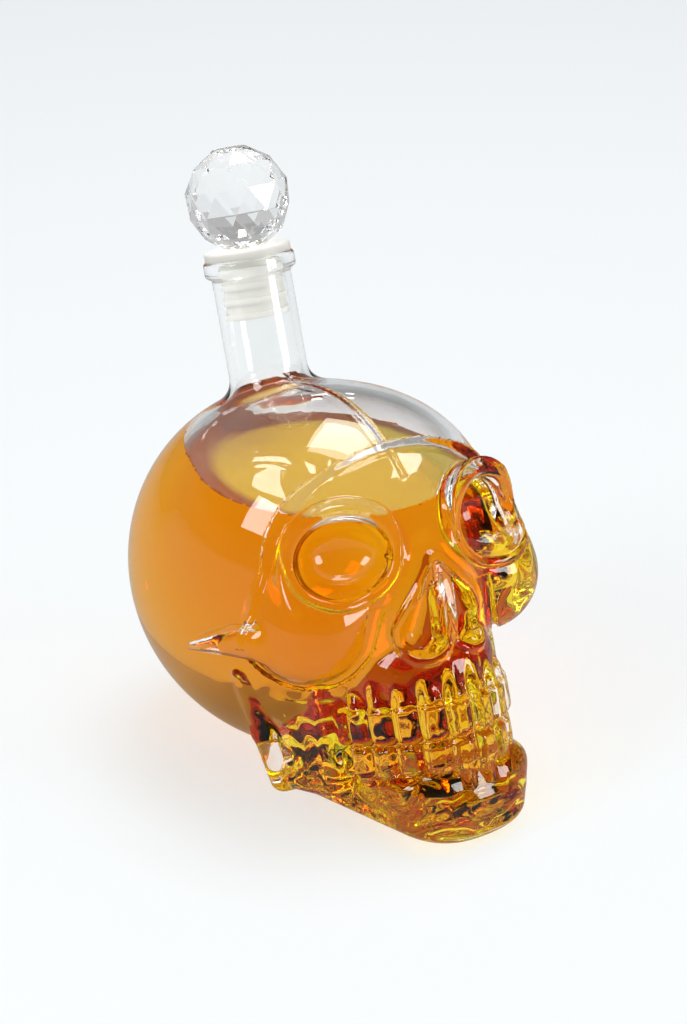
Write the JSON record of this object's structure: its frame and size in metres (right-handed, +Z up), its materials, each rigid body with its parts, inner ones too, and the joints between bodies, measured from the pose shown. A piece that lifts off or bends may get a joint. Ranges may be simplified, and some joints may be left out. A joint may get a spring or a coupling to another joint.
{
  "type": "figural liquor decanter",
  "caption": "Skull-shaped clear glass decanter that leans back on its jaw, filled with amber liquor and closed by a faceted crystal ball on a ribbed plastic sleeve.",
  "frame": {"origin": "on the surface it stands on, under the middle of its bounding box", "axes": "+Z up, -Y towards the skull's face, +X towards the skull's left"},
  "size_m": [0.1028, 0.1438, 0.1666],
  "materials": {
    "clear_glass": "clear moulded glass, fire polished",
    "amber_liquor": "clear amber liquor",
    "milky_plastic": "translucent milky polyethylene",
    "crystal": "cut and polished crystal"
  },
  "bodies": {
    "decanter": {"glass_body": "clear_glass", "glass_neck": "clear_glass", "liquor": "amber_liquor"},
    "stopper": {"stopper_sleeve": "milky_plastic", "stopper_ball": "crystal"}
  },
  "joints": [
    {"name": "stopper_lift", "type": "slide", "parent": "decanter", "child": "stopper", "axis": [0, 0.2924, 0.9563], "range_m": [0, 0.05]}
  ]
}
